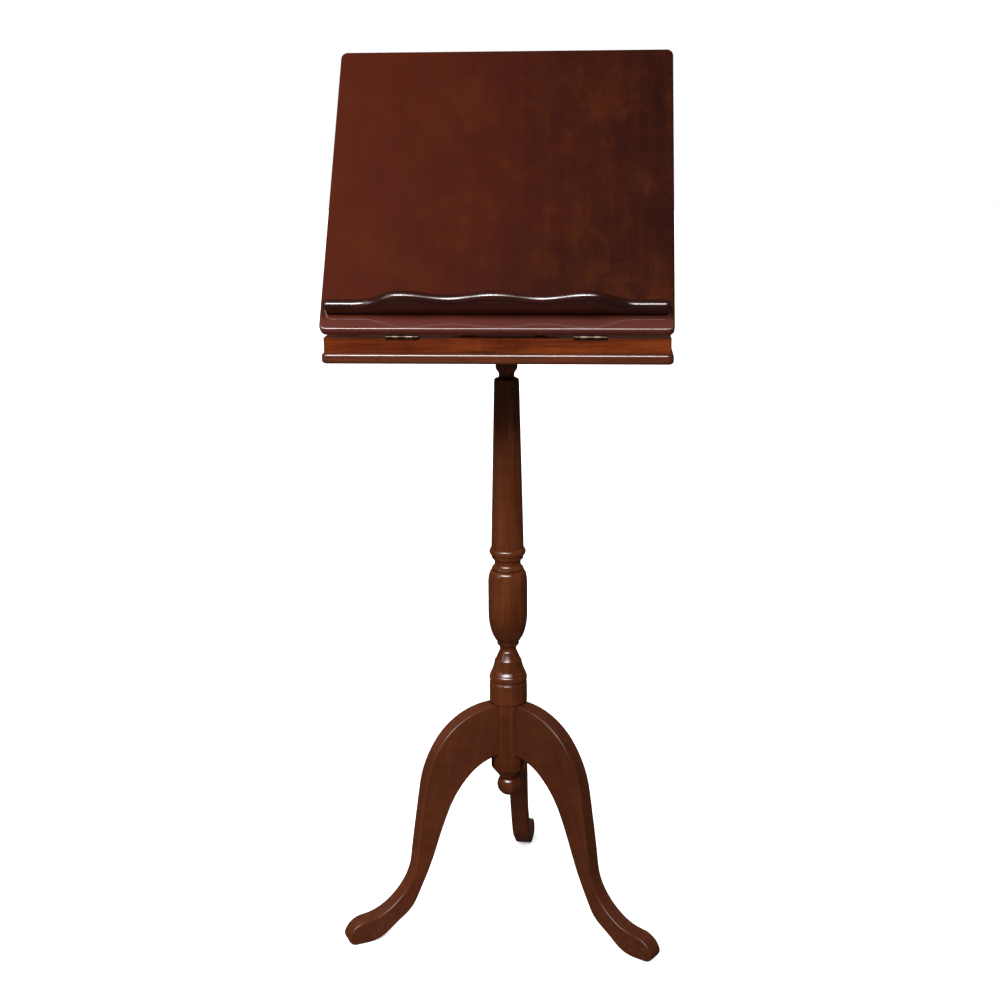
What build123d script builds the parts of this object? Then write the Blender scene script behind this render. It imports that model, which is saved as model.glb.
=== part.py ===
from build123d import *
from math import cos, radians, sin
import os

os.makedirs("parts", exist_ok=True)

# A floor-standing book stand. The origin is on the floor under the column's axis.
# +Z is up, -Y is towards the reader and +X is to the reader's right. Millimetres.

# ---------------------------------------------------------------- driving dimensions

BOARD = 12.7                    # thickness of the planed boards
RUNNING_FIT = 0.075             # radial clearance of a shaft that turns or slides in its bore
FACE_GAP = 0.1                  # gap between flat faces that turn on each other

# Box under the desk
BASE_BOTTOM = 782.0
BASE_WIDTH = 406.4
BASE_DEPTH = 354.0
BASE_CORNER = 8.0
BASE_EDGE = 4.0
RISER_HEIGHT = 17.35
RISER_INSET = 3.0
RISER_CORNER = 3.0

# Desk, in its own plane: x across, y up the slope from the hinge pins, z towards the reader
DESK_ANGLE = 56.3               # slope above level, as it stands at rest
DESK_WIDTH = 406.4
DESK_LENGTH = 381.0
DESK_CORNER = 8.0
DESK_FRONT_EDGE = 3.5
DESK_BACK_EDGE = 2.0
DESK_START = 1.0                # from the pin's axis to the desk's lower edge

# Ledge that the book stands on
LEDGE_RISE = 21.0               # from the desk's lower edge to the ledge's underside
LEDGE_HALF_LENGTH = 198.0
LEDGE_END_DEPTH = 17.0
LEDGE_CREST_DEPTH = 38.0
LEDGE_TROUGH_DEPTH = 29.0
LEDGE_WAVE = 106.0              # distance between crests
LEDGE_FLAT_START = 160.0        # the ends are straight beyond this
LEDGE_BULLNOSE = 5.8

# Butt hinges
HINGE_X = 108.0
HINGE_LENGTH = 38.1
HINGE_LEAF = 12.0               # from the pin's axis to the leaf's free edge
HINGE_SHEET = 1.2
KNUCKLE_RADIUS = 2.25
KNUCKLES = 5
KNUCKLE_GAP = 0.3
PIN_RADIUS = 1.2
PIN_OFFSET = 1.35               # from the pin's axis to the board that the leaf is screwed to
BARREL_RELIEF = 2.65            # radius of the hollow in the boards round the knuckles
SCREW_LINE = 7.3                # from the pin's axis to the screws' centres

# Screws
SCREW_RADIUS = 1.6
SCREW_HEAD_RADIUS = 3.1
SCREW_HEAD_DEPTH = 1.5
SLOT_WIDTH = 0.7
SLOT_DEPTH = 0.6
HINGE_SCREW_LENGTH = 9.5
PROP_SCREW_LENGTH = 6.0         # in the thin prop

# Prop that holds the desk up
PROP_DISTANCE = 163.0           # from the desk's pins to the prop's pin, and on to its foot
PROP_OVERHANG = 8.4             # how far the prop's board runs on past that
PROP_START = 1.5                # from the prop's pin to the end of its board
PROP_HEAD_BEVEL_DEPTH = 8.0
PROP_HEAD_BEVEL_LENGTH = 10.5
PROP_FOOT_BEVEL = 6.0
PROP_WIDTH = 130.0
PROP_THICKNESS = 9.0
PROP_HINGE_LENGTH = 63.5
RACK_X = 45.0
RACK_WIDTH = 14.0
RACK_HEIGHT = 5.0
RACK_TOOTH = 3.0
RACK_PITCH = 14.0
RACK_STOP_Y = 2.8               # upright face of the notch in use at rest
RACK_NOTCHES_BEFORE = 5
RACK_NOTCHES_BEHIND = 4

# Block and pivot under the box
BLOCK_SIZE = 120.0
BLOCK_HEIGHT = 15.0
BOLT_RADIUS = 4.0
BOLT_HEAD_ACROSS_FLATS = 13.0
BOLT_HEAD_HEIGHT = 5.0
BOLT_DEPTH = 32.0               # how far the bolt runs down into the spindle
WASHER_RADIUS = 11.0
WASHER_THICKNESS = 2.0
COUNTERBORE_RADIUS = 12.5
COUNTERBORE_DEPTH = 9.0

# Spindle that slides up out of the column
SPINDLE_RADIUS = 10.0
SPINDLE_HEAD_RADIUS = 14.0
SPINDLE_NECK_Z = 749.0
SPINDLE_LENGTH = 290.0          # below its head
SPINDLE_BORE_Z = 455.0          # floor of the column's bore

# Column and hub
COLUMN_TOP = 739.5
JOINT_Z = 333.9                 # where the column stands on the hub
COLLAR_RADIUS = 25.0
COLLAR_BOTTOM = 305.0
HUB_RADIUS = 23.45
HUB_CHAMFER_Z = 211.0
HUB_BOTTOM = 197.0
HUB_END_RADIUS = 13.2
HANGER_RADIUS = 4.5
HANGER_BOTTOM = 284.0
HANGER_TOP = 370.0
BALL_RADIUS = 15.8
BALL_Z = 185.0
BALL_TENON_RADIUS = 6.0
BALL_TENON_LENGTH = 20.0

# Legs
TRIPOD_TURN = 2.8               # the legs stand this far round from the box, clockwise from above
LEG_THICKNESS = 24.0
LEG_ROUND = 3.0
LEG_ROOT = 20.0                 # the board starts here, inside the hub, before it is coped
LEG_ROOT_BOTTOM = 233.0
# Points of the outline, outwards from the root: distance from the column's axis, height
LEG_OUTSIDE = [
    (98.6, 265.5), (124.8, 202.5), (134.8, 135), (138.8, 104),
    (150.8, 70.5), (179, 42.3), (209.5, 32), (234, 14),
]
LEG_INSIDE = [(59.5, 213), (90.2, 169), (108.2, 121.5), (127.2, 73.5), (139.2, 48.5), (156.5, 28.4), (178, 11.6)]
TONGUE_FACE = 9.0               # width of the dovetail at the hub's surface
TONGUE_BACK = 13.0
TONGUE_DEPTH = 11.0
TONGUE_BOTTOM = 229.0
TONGUE_TOP = 303.0

# ---------------------------------------------------------------- worked-out places

BASE_TOP = BASE_BOTTOM + BOARD
RISER_TOP = BASE_TOP + RISER_HEIGHT
BASE_FRONT = -BASE_DEPTH / 2
RISER_FRONT = BASE_FRONT + RISER_INSET
RISER_HALF_WIDTH = BASE_WIDTH / 2 - RISER_INSET
RISER_BACK = -RISER_FRONT
PIN_Y = RISER_FRONT - DESK_START
PIN_Z = RISER_TOP + PIN_OFFSET
BLOCK_BOTTOM = BASE_BOTTOM - BLOCK_HEIGHT
LEDGE_BOTTOM = DESK_START + LEDGE_RISE
LEDGE_TOP = LEDGE_BOTTOM + BOARD
DESK_BACK = PIN_OFFSET
DESK_FRONT = PIN_OFFSET + BOARD

SLOPE_COS = cos(radians(DESK_ANGLE))
SLOPE_SIN = sin(radians(DESK_ANGLE))
UP_THE_DESK = (0, SLOPE_COS, SLOPE_SIN)
OUT_OF_DESK = (0, -SLOPE_SIN, SLOPE_COS)
DESK = Plane(origin=(0, PIN_Y, PIN_Z), x_dir=(1, 0, 0), z_dir=OUT_OF_DESK)
BOX = Plane(origin=(0, PIN_Y, PIN_Z), x_dir=(1, 0, 0), z_dir=(0, 0, 1))
PROP_PIN = DESK.from_local_coords((0, PROP_DISTANCE, 0))
PROP_ON_DESK = Plane(origin=PROP_PIN, x_dir=(1, 0, 0), z_dir=OUT_OF_DESK)
PROP = Plane(origin=PROP_PIN, x_dir=(1, 0, 0), z_dir=(0, SLOPE_SIN, SLOPE_COS))

TOP_ALIGNED = (Align.CENTER, Align.CENTER, Align.MAX)
BOTTOM_ALIGNED = (Align.CENTER, Align.CENTER, Align.MIN)


def save(piece, name):
    """Label a finished piece and write its file."""
    piece.part.label = name
    export_step(piece.part, f"parts/{name}.step")


# ---------------------------------------------------------------- screws and hinges

def screw_places(plane, points, z, facing):
    """Planes at local points of a plane, at local height z, that face along +z or -z of it."""
    return [
        Plane(
            origin=plane.from_local_coords((x, y, z)),
            x_dir=plane.x_dir,
            z_dir=plane.z_dir * facing,
        )
        for x, y in points
    ]


def wood_screws(places, length, slotted=True):
    """Countersunk screws with their heads flush in the places' planes."""
    with BuildPart() as screws:
        with Locations(*places):
            Cylinder(SCREW_RADIUS, length, align=TOP_ALIGNED)
            Cone(SCREW_RADIUS, SCREW_HEAD_RADIUS, SCREW_HEAD_DEPTH, align=TOP_ALIGNED)
            if slotted:
                Box(
                    3 * SCREW_HEAD_RADIUS, SLOT_WIDTH, SLOT_DEPTH,
                    align=TOP_ALIGNED, mode=Mode.SUBTRACT,
                )
    return screws


def across(plane, x):
    """The plane square to a hinge's pin at local x."""
    return Plane(origin=plane.from_local_coords((x, 0, 0)), x_dir=plane.y_dir, z_dir=plane.x_dir)


def rod(plane, centre_x, length, radius):
    """A round bar along a hinge's axis."""
    with BuildPart() as bar:
        with BuildSketch(across(plane, centre_x - length / 2)):
            Circle(radius)
        extrude(amount=length)
    return bar


def hinge_leaf(plane, centre_x, length, side, first_knuckle, bore_radius, places):
    """One leaf with every other knuckle. Its sheet lies on the +z or -z side of the pin's axis."""
    pitch = length / KNUCKLES
    clear = KNUCKLE_RADIUS + KNUCKLE_GAP
    knuckle_centres = [
        centre_x + (index + 0.5) * pitch - length / 2
        for index in range(first_knuckle, KNUCKLES, 2)
    ]
    with BuildPart() as leaf:
        with BuildSketch(plane.offset(side * (PIN_OFFSET - HINGE_SHEET))):
            with Locations((centre_x, (clear + HINGE_LEAF) / 2)):
                Rectangle(length, HINGE_LEAF - clear)
            with Locations(*[(knuckle_x, clear / 2) for knuckle_x in knuckle_centres]):
                Rectangle(pitch - KNUCKLE_GAP, clear)
        extrude(amount=side * HINGE_SHEET)
        for knuckle_x in knuckle_centres:
            add(rod(plane, knuckle_x, pitch - KNUCKLE_GAP, KNUCKLE_RADIUS).part)
        add(rod(plane, centre_x, length, bore_radius).part, mode=Mode.SUBTRACT)
        add(wood_screws(places, HINGE_SHEET + 1, slotted=False).part, mode=Mode.SUBTRACT)
    return leaf


def barrel_hollow(plane, centre_x, length):
    """The hollow that a board needs round a hinge's knuckles."""
    return rod(plane, centre_x, length + 2 * KNUCKLE_GAP, BARREL_RELIEF)


hinge_centres = {"left": -HINGE_X, "right": HINGE_X}
main_points = [
    (centre + offset, SCREW_LINE)
    for centre in hinge_centres.values()
    for offset in (-HINGE_LENGTH / 4, HINGE_LENGTH / 4)
]
prop_points = [(-PROP_HINGE_LENGTH / 4, SCREW_LINE), (PROP_HINGE_LENGTH / 4, SCREW_LINE)]
SHEET_FACE = PIN_OFFSET - HINGE_SHEET

base_hinge_places = screw_places(BOX, main_points, -SHEET_FACE, 1)
desk_hinge_places = screw_places(DESK, main_points, SHEET_FACE, -1)
prop_desk_places = screw_places(PROP_ON_DESK, prop_points, SHEET_FACE, -1)
prop_strut_places = screw_places(PROP, prop_points, -SHEET_FACE, 1)

save(wood_screws(base_hinge_places, HINGE_SCREW_LENGTH), "base_hinge_screws")
save(wood_screws(desk_hinge_places, HINGE_SCREW_LENGTH), "desk_hinge_screws")
save(wood_screws(prop_desk_places, HINGE_SCREW_LENGTH), "prop_hinge_desk_screws")
save(wood_screws(prop_strut_places, PROP_SCREW_LENGTH), "prop_hinge_strut_screws")

for hand, centre in hinge_centres.items():
    save(
        hinge_leaf(BOX, centre, HINGE_LENGTH, -1, 0, PIN_RADIUS, base_hinge_places),
        f"{hand}_hinge_base_leaf",
    )
    save(
        hinge_leaf(DESK, centre, HINGE_LENGTH, 1, 1, PIN_RADIUS + RUNNING_FIT, desk_hinge_places),
        f"{hand}_hinge_desk_leaf",
    )
    save(rod(BOX, centre, HINGE_LENGTH, PIN_RADIUS), f"{hand}_hinge_pin")

save(
    hinge_leaf(PROP_ON_DESK, 0, PROP_HINGE_LENGTH, 1, 0, PIN_RADIUS, prop_desk_places),
    "prop_hinge_desk_leaf",
)
save(
    hinge_leaf(PROP, 0, PROP_HINGE_LENGTH, -1, 1, PIN_RADIUS + RUNNING_FIT, prop_strut_places),
    "prop_hinge_strut_leaf",
)
save(rod(PROP, 0, PROP_HINGE_LENGTH, PIN_RADIUS), "prop_hinge_pin")

# ---------------------------------------------------------------- desk and ledge

ledge_middle = (LEDGE_BOTTOM + LEDGE_TOP) / 2
ledge_places = screw_places(
    DESK, [(x, ledge_middle) for x in (-160, -LEDGE_WAVE / 2, LEDGE_WAVE / 2, 160)], DESK_BACK, -1
)
LEDGE_END_SCREW = DESK_FRONT - DESK_BACK + LEDGE_END_DEPTH - 4
save(wood_screws(ledge_places, LEDGE_END_SCREW), "ledge_screws")

with BuildPart() as desk_panel:
    with BuildSketch(DESK.offset(DESK_BACK)):
        with Locations((0, DESK_START + DESK_LENGTH / 2)):
            RectangleRounded(DESK_WIDTH, DESK_LENGTH, DESK_CORNER)
    extrude(amount=BOARD)
    across_board = desk_panel.faces().sort_by(Axis((0, 0, 0), OUT_OF_DESK))
    back_edges = across_board[0].edges()
    front_edges = across_board[-1].edges()
    fillet(front_edges, DESK_FRONT_EDGE)
    fillet(back_edges, DESK_BACK_EDGE)
    for centre in hinge_centres.values():
        add(barrel_hollow(DESK, centre, HINGE_LENGTH).part, mode=Mode.SUBTRACT)
    add(barrel_hollow(PROP_ON_DESK, 0, PROP_HINGE_LENGTH).part, mode=Mode.SUBTRACT)
    for places, length in (
        (desk_hinge_places, HINGE_SCREW_LENGTH),
        (prop_desk_places, HINGE_SCREW_LENGTH),
        (ledge_places, LEDGE_END_SCREW),
    ):
        add(wood_screws(places, length, slotted=False).part, mode=Mode.SUBTRACT)
save(desk_panel, "desk_panel")

ledge_plane = Plane(
    origin=DESK.from_local_coords((0, LEDGE_TOP, DESK_FRONT)),
    x_dir=(1, 0, 0),
    z_dir=(0, -SLOPE_COS, -SLOPE_SIN),
)
front_points = [(-LEDGE_FLAT_START, LEDGE_END_DEPTH)]
front_points += [
    (step * LEDGE_WAVE / 2, LEDGE_TROUGH_DEPTH if step % 2 else LEDGE_CREST_DEPTH)
    for step in range(-2, 3)
]
front_points += [(LEDGE_FLAT_START, LEDGE_END_DEPTH)]
CORNER_INSIDE = LEDGE_BULLNOSE * (1 - cos(radians(45)))

with BuildPart() as book_ledge:
    with BuildSketch(ledge_plane):
        with BuildLine():
            # Each half wave starts and ends level
            for start, end in zip(front_points, front_points[1:]):
                Spline(start, end, tangents=((1, 0), (1, 0)))
            for side in (-1, 1):
                flat_end = (side * (LEDGE_HALF_LENGTH - LEDGE_BULLNOSE), LEDGE_END_DEPTH)
                corner_end = (side * LEDGE_HALF_LENGTH, LEDGE_END_DEPTH - LEDGE_BULLNOSE)
                Line((side * LEDGE_FLAT_START, LEDGE_END_DEPTH), flat_end)
                ThreePointArc(
                    flat_end,
                    (side * (LEDGE_HALF_LENGTH - CORNER_INSIDE), LEDGE_END_DEPTH - CORNER_INSIDE),
                    corner_end,
                )
                Line(corner_end, (side * LEDGE_HALF_LENGTH, 0))
            Line((-LEDGE_HALF_LENGTH, 0), (LEDGE_HALF_LENGTH, 0))
        make_face()
    extrude(amount=BOARD)
    free_edges = book_ledge.edges().filter_by(
        lambda edge: DESK.to_local_coords(edge.center()).Z > DESK_FRONT + 1
        and abs(DESK.to_local_coords(edge.center()).Y - ledge_middle) > BOARD / 3
        and abs(edge.center().X) < LEDGE_HALF_LENGTH - 0.1
    )
    fillet(free_edges, LEDGE_BULLNOSE)
    add(wood_screws(ledge_places, LEDGE_END_SCREW, slotted=False).part, mode=Mode.SUBTRACT)
save(book_ledge, "book_ledge")

# ---------------------------------------------------------------- prop and its racks

PROP_LENGTH = PROP_DISTANCE + PROP_OVERHANG
with BuildPart() as prop_strut:
    with BuildSketch(PROP.offset(-PIN_OFFSET)):
        with Locations((0, (PROP_START + PROP_LENGTH) / 2)):
            Rectangle(PROP_WIDTH, PROP_LENGTH - PROP_START)
    extrude(amount=-PROP_THICKNESS)
    lengthwise = Axis(PROP_PIN, (0, SLOPE_COS, -SLOPE_SIN))
    foot_edges = prop_strut.faces().sort_by(lengthwise)[-1].edges().filter_by(Axis.X)
    chamfer(foot_edges.sort_by(Axis.Z)[-1], PROP_FOOT_BEVEL)
    # The head is bevelled underneath, so that it clears the desk when the prop swings out
    head_face = prop_strut.faces().sort_by(lengthwise)[0]
    head_edge = head_face.edges().filter_by(Axis.X).sort_by(Axis.Z)[0]
    chamfer(head_edge, PROP_HEAD_BEVEL_DEPTH, PROP_HEAD_BEVEL_LENGTH, reference=head_face)
    add(barrel_hollow(PROP, 0, PROP_HINGE_LENGTH).part, mode=Mode.SUBTRACT)
    add(wood_screws(prop_strut_places, PROP_SCREW_LENGTH, slotted=False).part, mode=Mode.SUBTRACT)
save(prop_strut, "prop_strut")


def prop_rack(centre_x):
    """A strip of saw teeth whose upright faces look towards the reader."""
    stops = [
        RACK_STOP_Y + RACK_PITCH * index
        for index in range(-RACK_NOTCHES_BEFORE, RACK_NOTCHES_BEHIND + 1)
    ]
    root_z = BASE_TOP + RACK_HEIGHT - RACK_TOOTH
    top_z = BASE_TOP + RACK_HEIGHT
    outline = [(stops[0] - RACK_PITCH, BASE_TOP), (stops[0] - RACK_PITCH, top_z)]
    for stop in stops:
        outline += [(stop, root_z), (stop, top_z)]
    outline += [(stops[-1] + RACK_PITCH, top_z), (stops[-1] + RACK_PITCH, BASE_TOP)]
    with BuildPart() as rack:
        with BuildSketch(Plane.YZ.offset(centre_x)):
            with BuildLine():
                Polyline(*outline, close=True)
            make_face()
        extrude(amount=RACK_WIDTH / 2, both=True)
    return rack


save(prop_rack(-RACK_X), "prop_rack_left")
save(prop_rack(RACK_X), "prop_rack_right")

# ---------------------------------------------------------------- box under the desk

RISER_SCREW_LENGTH = BOARD + 11
BLOCK_SCREW_LENGTH = BLOCK_HEIGHT + 9
riser_line = RISER_BACK - BOARD / 2
side_line = RISER_HALF_WIDTH - BOARD / 2
riser_points = [(x, y) for x in (-150, 0, 150) for y in (-riser_line, riser_line)]
riser_points += [(x, y) for x in (-side_line, side_line) for y in (-90, 90)]
block_points = [(x, y) for x in (-45, 45) for y in (-45, 45)]
riser_places = screw_places(Plane.XY, riser_points, BASE_BOTTOM, -1)
block_places = screw_places(Plane.XY, block_points, BLOCK_BOTTOM, -1)
save(wood_screws(riser_places, RISER_SCREW_LENGTH), "riser_screws")
save(wood_screws(block_places, BLOCK_SCREW_LENGTH), "mounting_block_screws")

with BuildPart() as base_board:
    with BuildSketch(Plane.XY.offset(BASE_BOTTOM)):
        RectangleRounded(BASE_WIDTH, BASE_DEPTH, BASE_CORNER)
    extrude(amount=BOARD)
    fillet(base_board.faces().sort_by(Axis.Z)[0].edges(), BASE_EDGE)
    fillet(base_board.faces().sort_by(Axis.Z)[-1].edges(), BASE_EDGE)
    with Locations((0, 0, BASE_TOP)):
        CounterBoreHole(BOLT_RADIUS + RUNNING_FIT, COUNTERBORE_RADIUS, COUNTERBORE_DEPTH)
    add(wood_screws(riser_places, RISER_SCREW_LENGTH, slotted=False).part, mode=Mode.SUBTRACT)
    add(wood_screws(block_places, BLOCK_SCREW_LENGTH, slotted=False).part, mode=Mode.SUBTRACT)
save(base_board, "base_board")


def long_rail(front):
    """A rail across the box's front or back, its outer corners rounded."""
    near = RISER_FRONT if front else RISER_BACK - BOARD
    outer_y = RISER_FRONT if front else RISER_BACK
    with BuildPart() as rail:
        with BuildSketch(Plane.XY.offset(BASE_TOP)):
            with Locations((0, near + BOARD / 2)):
                Rectangle(2 * RISER_HALF_WIDTH, BOARD)
        extrude(amount=RISER_HEIGHT)
        corners = rail.edges().filter_by(Axis.Z).filter_by(
            lambda edge: abs(edge.center().Y - outer_y) < 1
        )
        fillet(corners, RISER_CORNER)
        if front:
            for centre in hinge_centres.values():
                add(barrel_hollow(BOX, centre, HINGE_LENGTH).part, mode=Mode.SUBTRACT)
            add(
                wood_screws(base_hinge_places, HINGE_SCREW_LENGTH, slotted=False).part,
                mode=Mode.SUBTRACT,
            )
        add(wood_screws(riser_places, RISER_SCREW_LENGTH, slotted=False).part, mode=Mode.SUBTRACT)
    return rail


def side_rail(side):
    with BuildPart() as rail:
        with BuildSketch(Plane.XY.offset(BASE_TOP)):
            with Locations((side * side_line, 0)):
                Rectangle(BOARD, 2 * (RISER_BACK - BOARD))
        extrude(amount=RISER_HEIGHT)
        add(wood_screws(riser_places, RISER_SCREW_LENGTH, slotted=False).part, mode=Mode.SUBTRACT)
    return rail


save(long_rail(front=True), "riser_front_rail")
save(long_rail(front=False), "riser_back_rail")
save(side_rail(-1), "riser_left_rail")
save(side_rail(1), "riser_right_rail")

with BuildPart() as mounting_block:
    with BuildSketch(Plane.XY.offset(BLOCK_BOTTOM)):
        RectangleRounded(BLOCK_SIZE, BLOCK_SIZE, BASE_CORNER)
    extrude(amount=BLOCK_HEIGHT)
    chamfer(mounting_block.faces().sort_by(Axis.Z)[0].edges(), BASE_EDGE)
    with Locations((0, 0, BASE_BOTTOM)):
        Hole(BOLT_RADIUS + RUNNING_FIT)
    add(wood_screws(block_places, BLOCK_SCREW_LENGTH, slotted=False).part, mode=Mode.SUBTRACT)
save(mounting_block, "mounting_block")

# ---------------------------------------------------------------- pivot bolt and spindle

SPINDLE_TOP = BLOCK_BOTTOM - FACE_GAP
WASHER_BOTTOM = BASE_TOP - COUNTERBORE_DEPTH + FACE_GAP
BOLT_HEAD_BOTTOM = WASHER_BOTTOM + WASHER_THICKNESS

with BuildPart() as pivot_washer:
    with BuildSketch(Plane.XY.offset(WASHER_BOTTOM)):
        Circle(WASHER_RADIUS)
        Circle(BOLT_RADIUS, mode=Mode.SUBTRACT)
    extrude(amount=WASHER_THICKNESS)
save(pivot_washer, "pivot_washer")

with BuildPart() as pivot_bolt:
    with BuildSketch(Plane.XY.offset(BOLT_HEAD_BOTTOM)):
        RegularPolygon(BOLT_HEAD_ACROSS_FLATS / 2, 6, major_radius=False)
    extrude(amount=BOLT_HEAD_HEIGHT)
    with BuildSketch(Plane.XY.offset(SPINDLE_TOP - BOLT_DEPTH)):
        Circle(BOLT_RADIUS)
    extrude(amount=BOLT_HEAD_BOTTOM - SPINDLE_TOP + BOLT_DEPTH)
save(pivot_bolt, "pivot_bolt")

with BuildPart() as height_spindle:
    with BuildSketch(Plane.XZ):
        with BuildLine():
            shaft = Polyline(
                (SPINDLE_RADIUS, SPINDLE_NECK_Z),
                (SPINDLE_RADIUS, SPINDLE_NECK_Z - SPINDLE_LENGTH + 1.5),
                (SPINDLE_RADIUS - 1.5, SPINDLE_NECK_Z - SPINDLE_LENGTH),
                (0, SPINDLE_NECK_Z - SPINDLE_LENGTH),
                (0, SPINDLE_TOP),
                (SPINDLE_HEAD_RADIUS, SPINDLE_TOP),
                (SPINDLE_HEAD_RADIUS, SPINDLE_NECK_Z + 3.5),
            )
            ThreePointArc(
                shaft @ 1,
                (SPINDLE_HEAD_RADIUS - 0.9, SPINDLE_NECK_Z + 0.9),
                (SPINDLE_HEAD_RADIUS - 3, SPINDLE_NECK_Z),
            )
            Line((SPINDLE_HEAD_RADIUS - 3, SPINDLE_NECK_Z), shaft @ 0)
        make_face()
    revolve(axis=Axis.Z)
    with Locations((0, 0, SPINDLE_TOP)):
        Cylinder(BOLT_RADIUS, BOLT_DEPTH, align=TOP_ALIGNED, mode=Mode.SUBTRACT)
save(height_spindle, "height_spindle")

# ---------------------------------------------------------------- turned column

with BuildPart() as column_shaft:
    with BuildSketch(Plane.XZ):
        with BuildLine():
            # Top, with a rounded shoulder, and the long taper
            Line((0, COLUMN_TOP), (11.9, COLUMN_TOP))
            ThreePointArc((11.9, COLUMN_TOP), (14.8, 738.4), (16.1, 735.5))
            Line((16.1, 735.5), (21.3, 516.6))
            # Bead and cove
            ThreePointArc((21.3, 516.6), (23.8, 512.0), (21.2, 506.6))
            Line((21.2, 506.6), (20.3, 502.4))
            ThreePointArc((20.3, 502.4), (17.0, 497.0), (20.4, 490.4))
            # A cut sets the cove's lower lip off from the vase
            Polyline((20.4, 490.4), (21.0, 488.4), (19.9, 487.5), (21.1, 486.6))
            # Vase
            Spline((21.1, 486.6), (24.6, 479.8), (25.7, 468.0), tangents=((0.8, -0.6), (0, -1)))
            Line((25.7, 468.0), (25.7, 429.0))
            Spline(
                (25.7, 429.0), (24.0, 411.0), (18.6, 394.8), (14.1, 388.0),
                tangents=((0, -1), (-0.7, -1)),
            )
            ThreePointArc((14.1, 388.0), (14.4, 385.6), (12.6, 383.0))
            # Waist and bell
            ThreePointArc((12.6, 383.0), (10.9, 379.5), (12.0, 374.6))
            Spline(
                (12.0, 374.6), (14.9, 367.6), (16.9, 363.2), tangents=((0.3, -1), (0.55, -1))
            )
            Line((16.9, 363.2), (17.9, 362.2))
            Spline(
                (17.9, 362.2), (19.6, 354.4), (23.4, 345.2), tangents=((0.1, -1), (0.7, -1))
            )
            # Ring at the foot
            Line((23.4, 345.2), (22.9, 344.4))
            ThreePointArc((22.9, 344.4), (25.1, 339.2), (23.9, JOINT_Z))
            Line((23.9, JOINT_Z), (0, JOINT_Z))
            Line((0, JOINT_Z), (0, COLUMN_TOP))
        make_face()
    revolve(axis=Axis.Z)
    with Locations((0, 0, SPINDLE_BORE_Z)):
        Cylinder(
            SPINDLE_RADIUS + RUNNING_FIT, COLUMN_TOP - SPINDLE_BORE_Z,
            align=BOTTOM_ALIGNED, mode=Mode.SUBTRACT,
        )
    with Locations((0, 0, JOINT_Z)):
        Cylinder(HANGER_RADIUS, HANGER_TOP - JOINT_Z, align=BOTTOM_ALIGNED, mode=Mode.SUBTRACT)
save(column_shaft, "column_shaft")

with BuildPart() as hub_hanger_bolt:
    with BuildSketch(Plane.XY.offset(HANGER_BOTTOM)):
        Circle(HANGER_RADIUS)
    extrude(amount=HANGER_TOP - HANGER_BOTTOM)
    chamfer(hub_hanger_bolt.edges().filter_by(GeomType.CIRCLE), 1)
save(hub_hanger_bolt, "hub_hanger_bolt")

# ---------------------------------------------------------------- hub, finial and legs

LEG_DIRECTIONS = {
    "back_leg": TRIPOD_TURN,
    "right_leg": TRIPOD_TURN + 120,
    "left_leg": TRIPOD_TURN + 240,
}


def leg_plane(degrees_round):
    """Upright plane through the column's axis: x outwards, y up. Degrees run clockwise from +Y."""
    turn = radians(degrees_round)
    return Plane(origin=(0, 0, 0), x_dir=(sin(turn), cos(turn), 0), z_dir=(cos(turn), -sin(turn), 0))


def dovetail(degrees_round, bottom):
    """A leg's tongue, which the slot in the hub follows down to the hub's end."""
    turn = radians(degrees_round)
    seat = Plane(origin=(0, 0, bottom), x_dir=(sin(turn), cos(turn), 0), z_dir=(0, 0, 1))
    reach = HUB_RADIUS + 1
    with BuildPart() as tongue:
        with BuildSketch(seat):
            with BuildLine():
                Polyline(
                    (reach, TONGUE_FACE / 2),
                    (HUB_RADIUS, TONGUE_FACE / 2),
                    (HUB_RADIUS - TONGUE_DEPTH, TONGUE_BACK / 2),
                    (HUB_RADIUS - TONGUE_DEPTH, -TONGUE_BACK / 2),
                    (HUB_RADIUS, -TONGUE_FACE / 2),
                    (reach, -TONGUE_FACE / 2),
                    close=True,
                )
            make_face()
        extrude(amount=TONGUE_TOP - bottom)
    return tongue


with BuildPart() as leg_hub:
    with BuildSketch(Plane.XZ):
        with BuildLine():
            Polyline(
                (0, JOINT_Z),
                (23.9, JOINT_Z),
                (COLLAR_RADIUS, JOINT_Z - 2.4),
                (COLLAR_RADIUS, COLLAR_BOTTOM),
                (HUB_RADIUS, COLLAR_BOTTOM),
                (HUB_RADIUS, HUB_CHAMFER_Z),
                (HUB_END_RADIUS, HUB_BOTTOM),
                (0, HUB_BOTTOM),
                close=True,
            )
        make_face()
    revolve(axis=Axis.Z)
    for direction in LEG_DIRECTIONS.values():
        add(dovetail(direction, HUB_BOTTOM - 1).part, mode=Mode.SUBTRACT)
    with Locations((0, 0, HANGER_BOTTOM)):
        Cylinder(HANGER_RADIUS, JOINT_Z - HANGER_BOTTOM, align=BOTTOM_ALIGNED, mode=Mode.SUBTRACT)
    with Locations((0, 0, HUB_BOTTOM)):
        Cylinder(BALL_TENON_RADIUS, BALL_TENON_LENGTH, align=BOTTOM_ALIGNED, mode=Mode.SUBTRACT)
save(leg_hub, "leg_hub")

with BuildPart() as ball_finial:
    with Locations((0, 0, BALL_Z)):
        Sphere(BALL_RADIUS)
    with Locations((0, 0, HUB_BOTTOM)):
        Box(
            2 * BALL_RADIUS, 2 * BALL_RADIUS, BALL_RADIUS,
            align=BOTTOM_ALIGNED, mode=Mode.SUBTRACT,
        )
        Cylinder(BALL_TENON_RADIUS, BALL_TENON_LENGTH, align=BOTTOM_ALIGNED)
save(ball_finial, "ball_finial")


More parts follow.
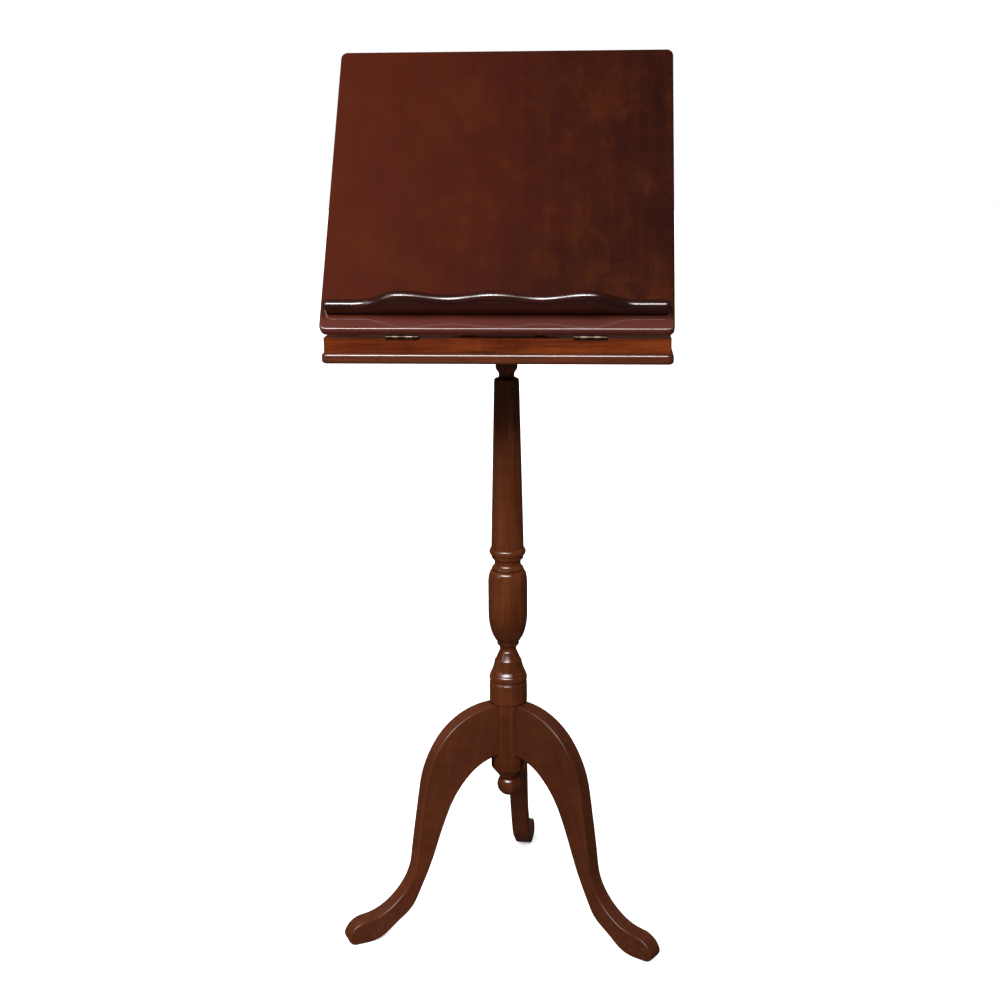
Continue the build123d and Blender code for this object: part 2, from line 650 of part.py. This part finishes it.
def tangent_chain(start, heading, points):
    """Arcs through the points, each tangent to the one before. Returns the last one."""
    arc = TangentArc(start, points[0], tangent=heading)
    for point in points[1:]:
        arc = TangentArc(arc @ 1, point, tangent=arc % 1)
    return arc


def land_on_floor(arc, heading):
    """An arc that carries on from another down to the floor, ending level."""
    end = arc @ 1
    slope = arc % 1
    floor_x = end.X - end.Y * (slope.X + heading) / slope.Y
    return TangentArc(end, (floor_x, 0), tangent=slope)


def leg(degrees_round):
    """A leg sawn from a board: out from under the collar, down, and out again to a round toe."""
    outside_start = (LEG_ROOT, COLLAR_BOTTOM)
    inside_start = (LEG_ROOT, LEG_ROOT_BOTTOM)
    with BuildPart() as board:
        with BuildSketch(leg_plane(degrees_round)):
            with BuildLine():
                toe = land_on_floor(tangent_chain(outside_start, (1, 0), LEG_OUTSIDE), -1)
                sole = land_on_floor(tangent_chain(inside_start, (1, -0.18), LEG_INSIDE), 1)
                Line(toe @ 1, sole @ 1)
                Line(outside_start, inside_start)
            make_face()
        extrude(amount=LEG_THICKNESS / 2, both=True)
        side_faces = board.faces().sort_by(Axis((0, 0, 0), leg_plane(degrees_round).z_dir))
        rim = [
            edge
            for face in (side_faces[0], side_faces[-1])
            for edge in face.edges()
            if edge.center().Z < LEG_ROOT_BOTTOM or edge.geom_type == GeomType.CIRCLE
        ]
        fillet(rim, LEG_ROUND)
        with Locations((0, 0, HUB_BOTTOM)):
            Cylinder(HUB_RADIUS, COLLAR_BOTTOM - HUB_BOTTOM, align=BOTTOM_ALIGNED, mode=Mode.SUBTRACT)
        add(dovetail(degrees_round, TONGUE_BOTTOM).part)
    return board


for name, direction in LEG_DIRECTIONS.items():
    save(leg(direction), name)
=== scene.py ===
from math import cos, pi, radians, sin

import bpy
from mathutils import Matrix, Vector


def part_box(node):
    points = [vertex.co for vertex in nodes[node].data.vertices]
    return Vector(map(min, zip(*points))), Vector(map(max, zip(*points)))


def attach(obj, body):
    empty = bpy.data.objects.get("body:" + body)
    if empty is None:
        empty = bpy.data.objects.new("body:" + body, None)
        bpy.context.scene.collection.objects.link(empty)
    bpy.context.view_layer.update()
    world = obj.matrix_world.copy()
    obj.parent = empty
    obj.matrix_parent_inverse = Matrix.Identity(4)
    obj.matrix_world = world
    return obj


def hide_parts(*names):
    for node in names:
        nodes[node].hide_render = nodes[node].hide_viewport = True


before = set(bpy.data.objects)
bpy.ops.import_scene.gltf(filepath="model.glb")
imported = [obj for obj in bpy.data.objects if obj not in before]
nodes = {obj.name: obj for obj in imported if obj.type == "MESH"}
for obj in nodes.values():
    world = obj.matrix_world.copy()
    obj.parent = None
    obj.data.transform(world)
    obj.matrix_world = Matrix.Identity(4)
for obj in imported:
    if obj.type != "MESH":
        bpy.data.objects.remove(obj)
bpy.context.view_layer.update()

# A mahogany book stand in the frame's own axes: metres, +Z up, -Y towards the reader.

DESK_ANGLE = radians(56.3)      # slope of the desk above level at rest
LEG_TURNS = {"back_leg": 2.8, "right_leg": 122.8, "left_leg": 242.8}   # degrees clockwise from +Y
LEG_GRAIN_LEAN = radians(17)    # how far the legs' grain leans out from upright
LEG_PAINTED_LIGHT = {"back_leg": 1.0, "right_leg": 0.80, "left_leg": 1.12}     # how light each leg is: painted light and shade, lighter on the left leg and darker on the right, as the light falls from the left

ALONG_X = (1, 0, 0)
ALONG_Y = (0, 1, 0)
UP = (0, 0, 1)
TOWARDS_READER = (0, -1, 0)
DESK_NORMAL = (0, -sin(DESK_ANGLE), cos(DESK_ANGLE))
UP_THE_DESK = (0, cos(DESK_ANGLE), sin(DESK_ANGLE))

# The wood's polish
POLISH_IOR = 1.8
WOOD_IOR = 1.45
WOOD_SPECULAR = 0.015           # nearly all the shine comes from the polish
PAINTED_SHADE_DEPTH = 0.003            # how far from a joint or groove the painted shade darkens the wood
PORE_DEPTH = 0.0001
PORE_STRENGTH = 0.02            # low, because a stronger bump breaks up the highlights

# Colours laid over the wood's own; the redder side is partly painted light falling from the left
REDDER_AND_LIT_SIDE = (0.098, 0.0160, 0.0068)
ORANGE_PATCH = (0.082, 0.0180, 0.0040)
# Colour for a band painted paler below the ledge
PALE_BAND_BELOW_LEDGE = (0.125, 0.034, 0.027)
PALE_MARK = (0.26, 0.14, 0.085)


# ---------------------------------------------------------------- shader helpers

class Shader:
    """A material whose nodes are made and joined by short calls."""

    def __init__(self, name):
        self.material = bpy.data.materials.new(name)
        self.material.use_nodes = True
        self.tree = self.material.node_tree
        self.surface = self.tree.nodes["Principled BSDF"]

    def node(self, kind, **settings):
        made = self.tree.nodes.new(kind)
        for key, value in settings.items():
            setattr(made, key, value)
        return made

    def join(self, source, target):
        self.tree.links.new(source, target)

    def coordinates(self):
        return self.node("ShaderNodeTexCoord").outputs["Object"]

    def mapped(self, vector, rotation=(0, 0, 0), scale=(1, 1, 1), shift=(0, 0, 0)):
        mapping = self.node("ShaderNodeMapping")
        mapping.inputs["Rotation"].default_value = rotation
        mapping.inputs["Scale"].default_value = scale
        mapping.inputs["Location"].default_value = shift
        self.join(vector, mapping.inputs["Vector"])
        return mapping.outputs["Vector"]

    def coordinate(self, axis):
        """One of the object's own coordinates: X, Y or Z."""
        split = self.node("ShaderNodeSeparateXYZ")
        self.join(self.coordinates(), split.inputs["Vector"])
        return split.outputs[axis]

    def noise(self, vector, detail=3.0, roughness=0.55, distortion=0.0):
        noise = self.node("ShaderNodeTexNoise")
        noise.inputs["Scale"].default_value = 1
        noise.inputs["Detail"].default_value = detail
        noise.inputs["Roughness"].default_value = roughness
        noise.inputs["Distortion"].default_value = distortion
        self.join(vector, noise.inputs["Vector"])
        return noise.outputs["Fac"]

    def stretch(self, value, low, high, to_low=0.0, to_high=1.0):
        """Carry the range low..high over to to_low..to_high, smoothly and clamped."""
        span = self.node("ShaderNodeMapRange", interpolation_type="SMOOTHSTEP")
        span.inputs["From Min"].default_value = low
        span.inputs["From Max"].default_value = high
        span.inputs["To Min"].default_value = to_low
        span.inputs["To Max"].default_value = to_high
        self.join(value, span.inputs["Value"])
        return span.outputs["Result"]

    def mix(self, factor, first, second, blend="MIX"):
        mixer = self.node("ShaderNodeMix", data_type="RGBA", blend_type=blend)
        for value, socket in ((factor, 0), (first, 6), (second, 7)):
            if isinstance(value, (float, int)):
                mixer.inputs[socket].default_value = value
            elif isinstance(value, tuple):
                mixer.inputs[socket].default_value = (*value, 1)
            else:
                self.join(value, mixer.inputs[socket])
        return mixer.outputs[2]

    def set(self, **values):
        for key, value in values.items():
            self.surface.inputs[key.replace("_", " ")].default_value = value


def grain_turn(along, face):
    """Euler turn that carries the grain's direction to X and the face's normal to Z."""
    along = Vector(along).normalized()
    face = Vector(face).normalized()
    return Matrix((along, face.cross(along), face)).to_euler("XYZ")


# ---------------------------------------------------------------- wood, brass and steel

def mahogany(
    name, dark, middle, light, turn, seed,
    roughness=0.3, coat=0.8, coat_roughness=0.14, figure=1.0, uneven_and_lit=False, marked=False
):
    """French-polished mahogany. The grain runs along X once the coordinates are turned."""
    wood = Shader(name)
    place = wood.mapped(wood.coordinates(), rotation=turn, shift=(seed, 1.7 * seed, 0.6 * seed))
    clouds = wood.noise(wood.mapped(place, scale=(9, 11, 11)), 3, 0.5, 0.4)
    ribbon = wood.noise(wood.mapped(place, scale=(7, 70, 70)), 5, 0.6, 0.3)
    streak = wood.noise(wood.mapped(place, scale=(14, 420, 420)), 4, 0.6)
    mottle = wood.noise(wood.mapped(place, scale=(90, 16, 16)), 2, 0.5, 0.5)
    pores = wood.noise(wood.mapped(place, scale=(90, 1900, 1900)), 2, 0.5)

    tone = wood.mix(wood.stretch(clouds, 0.3, 0.7), dark, middle)
    tone = wood.mix(wood.stretch(ribbon, 0.42, 0.72, 0, 0.55 * figure), tone, light)
    shade = wood.stretch(streak, 0.35, 0.65, 1 - 0.24 * figure, 1 + 0.14 * figure)
    tone = wood.mix(1.0, tone, shade, "MULTIPLY")
    tone = wood.mix(1.0, tone, wood.stretch(mottle, 0.3, 0.7, 0.93, 1.07), "MULTIPLY")
    tone = wood.mix(1.0, tone, wood.stretch(pores, 0.6, 0.72, 1.0, 0.72), "MULTIPLY")
    if uneven_and_lit:
        tone = uneven_and_lit_panel(wood, tone)
    # Painted shade: ambient occlusion darkens the wood in joints, grooves and corners
    painted_corner_shade = wood.node("ShaderNodeAmbientOcclusion", samples=8)
    painted_corner_shade.inputs["Distance"].default_value = PAINTED_SHADE_DEPTH
    tone = wood.mix(1.0, tone, wood.stretch(painted_corner_shade.outputs["AO"], 0.5, 0.95, 0.15, 1.0), "MULTIPLY")
    spread = wood.stretch(streak, 0.3, 0.7, roughness + 0.05, roughness - 0.05)
    if marked:
        tone = marked_toes(wood, tone)
    wood.join(tone, wood.surface.inputs["Base Color"])
    wood.join(spread, wood.surface.inputs["Roughness"])
    bump = wood.node("ShaderNodeBump")
    bump.inputs["Strength"].default_value = PORE_STRENGTH
    bump.inputs["Distance"].default_value = PORE_DEPTH
    wood.join(wood.stretch(pores, 0.58, 0.74, 1, 0), bump.inputs["Height"])
    wood.join(bump.outputs["Normal"], wood.surface.inputs["Normal"])
    wood.set(Coat_Weight=coat, Coat_Roughness=coat_roughness, Coat_IOR=POLISH_IOR)
    wood.set(IOR=WOOD_IOR, Specular_IOR_Level=WOOD_SPECULAR)
    return wood.material


def uneven_and_lit_panel(wood, tone):
    """Redder on the reader's left, partly the wood's own tone and partly painted light falling from the left,
    with soft orange patches, and a band painted paler below the ledge.
    """
    # Redder towards the reader's left: partly the wood's own tone, partly painted light falling from the left
    redder_and_lit_towards_left = wood.stretch(wood.coordinate("X"), -0.24, 0.22, 0.55, 0.0)
    tone = wood.mix(redder_and_lit_towards_left, tone, REDDER_AND_LIT_SIDE)
    place = wood.mapped(wood.coordinates(), scale=(24, 17, 17), shift=(3.1, 0, 0))
    patches = wood.noise(place, 6, 0.68, 0.3)
    tone = wood.mix(wood.stretch(patches, 0.44, 0.76, 0, 0.5), tone, ORANGE_PATCH)
    # The desk is painted paler and greyer in a band just below the ledge
    below_ledge = wood.stretch(wood.coordinate("Z"), 0.831, 0.839, 0.6, 0.0)
    return wood.mix(below_ledge, tone, PALE_BAND_BELOW_LEDGE)


def marked_toes(wood, tone):
    """Small pale marks on the lowest 60 mm of the legs, strongest beside the floor."""
    low = wood.stretch(wood.coordinate("Z"), 0.012, 0.060, 1.0, 0.0)
    marks = wood.noise(wood.mapped(wood.coordinates(), scale=(130, 130, 260)), 5, 0.7, 0.6)
    marks = wood.stretch(marks, 0.50, 0.72, 0, 0.16)
    low_marks = wood.mix(low, (0.0, 0.0, 0.0), marks)
    return wood.mix(low_marks, tone, PALE_MARK)


def metal(name, colour, tarnished, roughness):
    """A drawn metal with faint tarnish."""
    sheet = Shader(name)
    place = sheet.coordinates()
    tarnish = sheet.noise(sheet.mapped(place, scale=(120, 120, 120)), 4, 0.6)
    tone = sheet.mix(sheet.stretch(tarnish, 0.4, 0.7), colour, tarnished)
    sheet.join(tone, sheet.surface.inputs["Base Color"])
    scratches = sheet.noise(sheet.mapped(place, scale=(60, 1500, 1500)), 2, 0.5)
    spread = sheet.stretch(scratches, 0.3, 0.7, roughness - 0.06, roughness + 0.08)
    sheet.join(spread, sheet.surface.inputs["Roughness"])
    sheet.set(Metallic=1.0)
    return sheet.material


panel_red = dict(dark=(0.020, 0.0042, 0.0026), middle=(0.034, 0.0060, 0.0028), light=(0.058, 0.0115, 0.0040))
box_red = dict(dark=(0.092, 0.0145, 0.0030), middle=(0.140, 0.023, 0.0044), light=(0.20, 0.041, 0.0072))
base_brown = dict(dark=(0.072, 0.0150, 0.0048), middle=(0.104, 0.0240, 0.0078), light=(0.15, 0.038, 0.012))
turned_red = dict(dark=(0.056, 0.0125, 0.0040), middle=(0.094, 0.0240, 0.0074), light=(0.142, 0.0390, 0.0115))
leg_red = dict(dark=(0.060, 0.0145, 0.0058), middle=(0.076, 0.0198, 0.0076), light=(0.100, 0.027, 0.0095))

finishes = {
    "desk_wood": mahogany(
        "desk_wood", **panel_red, turn=grain_turn(UP_THE_DESK, DESK_NORMAL), seed=1.3,
        coat=0.6, coat_roughness=0.1, figure=0.5, uneven_and_lit=True
    ),
    "ledge_wood": mahogany(
        "ledge_wood", **panel_red, turn=grain_turn(ALONG_X, DESK_NORMAL), seed=4.1,
        coat=1.0, coat_roughness=0.2, figure=0.4
    ),
    "prop_wood": mahogany("prop_wood", **panel_red, turn=grain_turn(ALONG_Y, UP), seed=7.7),
    "base_wood": mahogany(
        "base_wood", **base_brown, turn=grain_turn(ALONG_X, UP), seed=6.4,
        coat=1.0, coat_roughness=0.22, figure=0.7
    ),
    "long_wood": mahogany("long_wood", **box_red, turn=grain_turn(ALONG_X, UP), seed=2.9, figure=1.3),
    "side_wood": mahogany("side_wood", **box_red, turn=grain_turn(ALONG_Y, UP), seed=5.2, figure=1.3),
    "turned_wood": mahogany(
        "turned_wood", **turned_red, turn=grain_turn(UP, TOWARDS_READER), seed=3.4,
        roughness=0.27, coat=0.5, figure=0.8
    ),
    "brass": metal("brass", (0.24, 0.175, 0.13), (0.12, 0.085, 0.065), 0.42),
    "dark_brass": metal("dark_brass", (0.11, 0.075, 0.055), (0.05, 0.034, 0.026), 0.45),
    "steel": metal("steel", (0.42, 0.41, 0.40), (0.2, 0.18, 0.16), 0.35),
}
for leg, degrees_round in LEG_TURNS.items():
    out = Vector((sin(radians(degrees_round)), cos(radians(degrees_round)), 0))
    side = out.cross(Vector(UP))
    along = out * sin(LEG_GRAIN_LEAN) - Vector(UP) * cos(LEG_GRAIN_LEAN)
    # Painted light and shade: each leg's colours are scaled, lighter for the left leg and darker for the
    # right
    board = {tone: tuple(LEG_PAINTED_LIGHT[leg] * part for part in colour) for tone, colour in leg_red.items()}
    finishes[leg] = mahogany(
        f"{leg}_wood", **board, turn=grain_turn(along, side), seed=degrees_round / 50 + 0.8,
        coat=0.22, coat_roughness=0.24, figure=0.5, marked=True
    )

worn_by = {
    "desk_wood": ["desk_panel"],
    "ledge_wood": ["book_ledge"],
    "prop_wood": ["prop_strut"],
    "base_wood": ["base_board", "mounting_block"],
    "long_wood": ["riser_front_rail", "riser_back_rail"],
    "side_wood": ["riser_left_rail", "riser_right_rail", "prop_rack_left", "prop_rack_right"],
    "turned_wood": ["column_shaft", "height_spindle", "leg_hub", "ball_finial"],
}
steel_nodes = {
    "ledge_screws", "riser_screws", "mounting_block_screws", "pivot_bolt", "pivot_washer", "hub_hanger_bolt"
}


def wear(piece, material):
    piece.data.materials.clear()
    piece.data.materials.append(material)


for finish, names in worn_by.items():
    for name in names:
        wear(nodes[name], finishes[finish])
for name, piece in nodes.items():
    if name in LEG_TURNS:
        wear(piece, finishes[name])
    elif name in steel_nodes:
        wear(piece, finishes["steel"])
    elif "hinge" in name:
        dark = "base_leaf" in name or "pin" in name
        wear(piece, finishes["dark_brass" if dark else "brass"])


# ---------------------------------------------------------------- threaded spindle

def threaded_spindle():
    """The wooden screw: a flange, a neck and a rounded thread down to its end."""
    low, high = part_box("height_spindle")
    flange_radius = (high.x - low.x) / 2
    shaft_radius = 0.010
    thread_depth = 0.0014
    pitch = 0.006
    neck = high.z - 0.0179
    round_count = 96
    steps_per_turn = 12
    cove_top = neck + 0.0035
    cove_bottom = neck - 0.006
    cove_steps = 10
    profile = [(0.0045, high.z), (flange_radius - 0.0008, high.z), (flange_radius, high.z - 0.0008)]
    for step in range(cove_steps + 1):
        part = step / cove_steps
        swell = (0.5 + 0.5 * cos(pi * part)) ** 1.5
        profile.append((
            shaft_radius + (flange_radius - shaft_radius) * swell, cove_top + (cove_bottom - cove_top) * part
        ))
    thread_top = neck - 0.016
    profile.append((shaft_radius, thread_top + 0.001))
    thread_end = low.z + 0.0015
    rows = [[(radius, z)] * round_count for radius, z in profile]
    step_count = int((thread_top - thread_end) / pitch * steps_per_turn)
    for step in range(step_count + 1):
        z = thread_top - (thread_top - thread_end) * step / step_count
        row = []
        for index in range(round_count):
            phase = z / pitch + index / round_count
            crest = (0.5 + 0.5 * cos(2 * pi * phase)) ** 0.7
            row.append((shaft_radius - thread_depth * (1 - crest), z))
        rows.append(row)
    rows.append([(shaft_radius - 0.003, low.z)] * round_count)
    vertices = []
    for row in rows:
        for index, (radius, z) in enumerate(row):
            turn = 2 * pi * index / round_count
            vertices.append((radius * cos(turn), radius * sin(turn), z))
    faces = []
    for upper in range(len(rows) - 1):
        for index in range(round_count):
            beside = (index + 1) % round_count
            faces.append((
                upper * round_count + index, (upper + 1) * round_count + index,
                (upper + 1) * round_count + beside, upper * round_count + beside,
            ))
    faces.append([(len(rows) - 1) * round_count + index for index in reversed(range(round_count))])
    faces.append(list(range(round_count)))
    mesh = bpy.data.meshes.new("threaded_spindle")
    mesh.from_pydata(vertices, [], faces)
    mesh.update()
    piece = bpy.data.objects.new("threaded_spindle", mesh)
    bpy.context.scene.collection.objects.link(piece)
    mesh.shade_smooth()
    mesh.set_sharp_from_angle(angle=radians(40))
    wear(piece, finishes["turned_wood"])
    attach(piece, "spindle")
    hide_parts("height_spindle")


threaded_spindle()


# ---------------------------------------------------------------- room, light and camera

def place_light(name, light, target, distance, azimuth, elevation):
    """Set a light looking at target. Azimuth runs from -Y towards +X, both angles in degrees."""
    lamp = bpy.data.objects.new(name, light)
    bpy.context.scene.collection.objects.link(lamp)
    turn, rise = radians(azimuth), radians(elevation)
    away = Vector((sin(turn) * cos(rise), -cos(turn) * cos(rise), sin(rise)))
    lamp.location = Vector(target) + away * distance
    lamp.rotation_euler = away.to_track_quat("Z", "Y").to_euler()
    return lamp


def softbox(name, target, distance, azimuth, elevation, size, power):
    """A rectangular softbox."""
    light = bpy.data.lights.new(name, "AREA")
    light.shape = "RECTANGLE"
    light.size, light.size_y = size
    light.energy = power
    return place_light(name, light, target, distance, azimuth, elevation)


def sun(name, azimuth, elevation, softness, power):
    """A distant softbox: even light over the whole floor. Softness is the angle it fills, in degrees."""
    light = bpy.data.lights.new(name, "SUN")
    light.energy = power
    light.angle = radians(softness)
    return place_light(name, light, (0, 0, 0), 4, azimuth, elevation)


def studio_room(seen, ambient, reflected):
    """A room that is white to the camera, lights the stand a little and hardly shows in its polish."""
    world = bpy.data.worlds.new("room")
    world.use_nodes = True
    tree = world.node_tree
    background = tree.nodes["Background"]
    ray = tree.nodes.new("ShaderNodeLightPath")
    strength = ambient
    for kind, value in (("Is Glossy Ray", reflected), ("Is Camera Ray", seen)):
        choice = tree.nodes.new("ShaderNodeMix")
        tree.links.new(ray.outputs[kind], choice.inputs["Factor"])
        if isinstance(strength, float):
            choice.inputs["A"].default_value = strength
        else:
            tree.links.new(strength, choice.inputs["A"])
        choice.inputs["B"].default_value = value
        strength = choice.outputs["Result"]
    tree.links.new(strength, background.inputs["Strength"])
    background.inputs["Color"].default_value = (1, 1, 1, 1)
    bpy.context.scene.world = world


bpy.context.scene.view_settings.view_transform = "Standard"

FLOOR_ALBEDO = 0.95
FLOOR_GLOW = 0.36               # makes the floor as white as the room
HALF_FLOOR = 20.0
CORNERS = ((-1, -1), (1, -1), (1, 1), (-1, 1))

floor_mesh = bpy.data.meshes.new("floor")
floor_mesh.from_pydata([(x * HALF_FLOOR, y * HALF_FLOOR, 0) for x, y in CORNERS], [], [(0, 1, 2, 3)])
floor = bpy.data.objects.new("floor", floor_mesh)
bpy.context.scene.collection.objects.link(floor)
acrylic = Shader("floor_acrylic")
acrylic.set(Base_Color=(FLOOR_ALBEDO,) * 3 + (1,), Roughness=0.9, Specular_IOR_Level=0.1)
acrylic.set(Emission_Color=(1, 1, 1, 1), Emission_Strength=FLOOR_GLOW)
wear(floor, acrylic.material)
# The floor lights nothing and isn't seen in the polish, so the wood keeps its depth.
# It casts no shadow either, so that floor_bounce can shine up through it.
floor.visible_glossy = False
floor.visible_diffuse = False
floor.visible_shadow = False

studio_room(seen=1.0, ambient=0.12, reflected=0.03)
# A long strip light is a row of overlapping suns, so that it lights the whole floor evenly
for azimuth, power in ((-34, 0.85), (-20, 1.25), (-6, 1.2), (8, 0.65), (22, 0.25)):
    sun(f"strip_{azimuth % 360}", azimuth, elevation=37, softness=17, power=power)
softbox("left_softbox", (0, -0.1, 0.8), 1.5, azimuth=-55, elevation=22, size=(0.7, 1.1), power=4)
# The back and sides have lights of their own, which don't shine in the polish
for azimuth in (140, 220):
    sun(f"back_{azimuth}", azimuth, elevation=34, softness=50, power=1.7).visible_glossy = False
# Stands in for the floor's light on whatever faces down, because the floor itself lights nothing
sun("floor_bounce", -6, elevation=-65, softness=80, power=0.9).visible_glossy = False

CAMERA_PLACE = (0.1275, -1.8802, 1.0365)
CAMERA_TURN = 4.165             # degrees to the left of +Y
CAMERA_DIP = 13.626             # degrees below level
CAMERA_ROLL = -0.408

camera_data = bpy.data.cameras.new("camera")
camera_data.lens = 54.0
camera_data.sensor_width = 36.0
camera = bpy.data.objects.new("camera", camera_data)
bpy.context.scene.collection.objects.link(camera)
camera.matrix_world = (
    Matrix.Translation(CAMERA_PLACE)
    @ Matrix.Rotation(radians(CAMERA_TURN), 4, "Z")
    @ Matrix.Rotation(radians(90 - CAMERA_DIP), 4, "X")
    @ Matrix.Rotation(radians(CAMERA_ROLL), 4, "Z")
)
bpy.context.scene.camera = camera
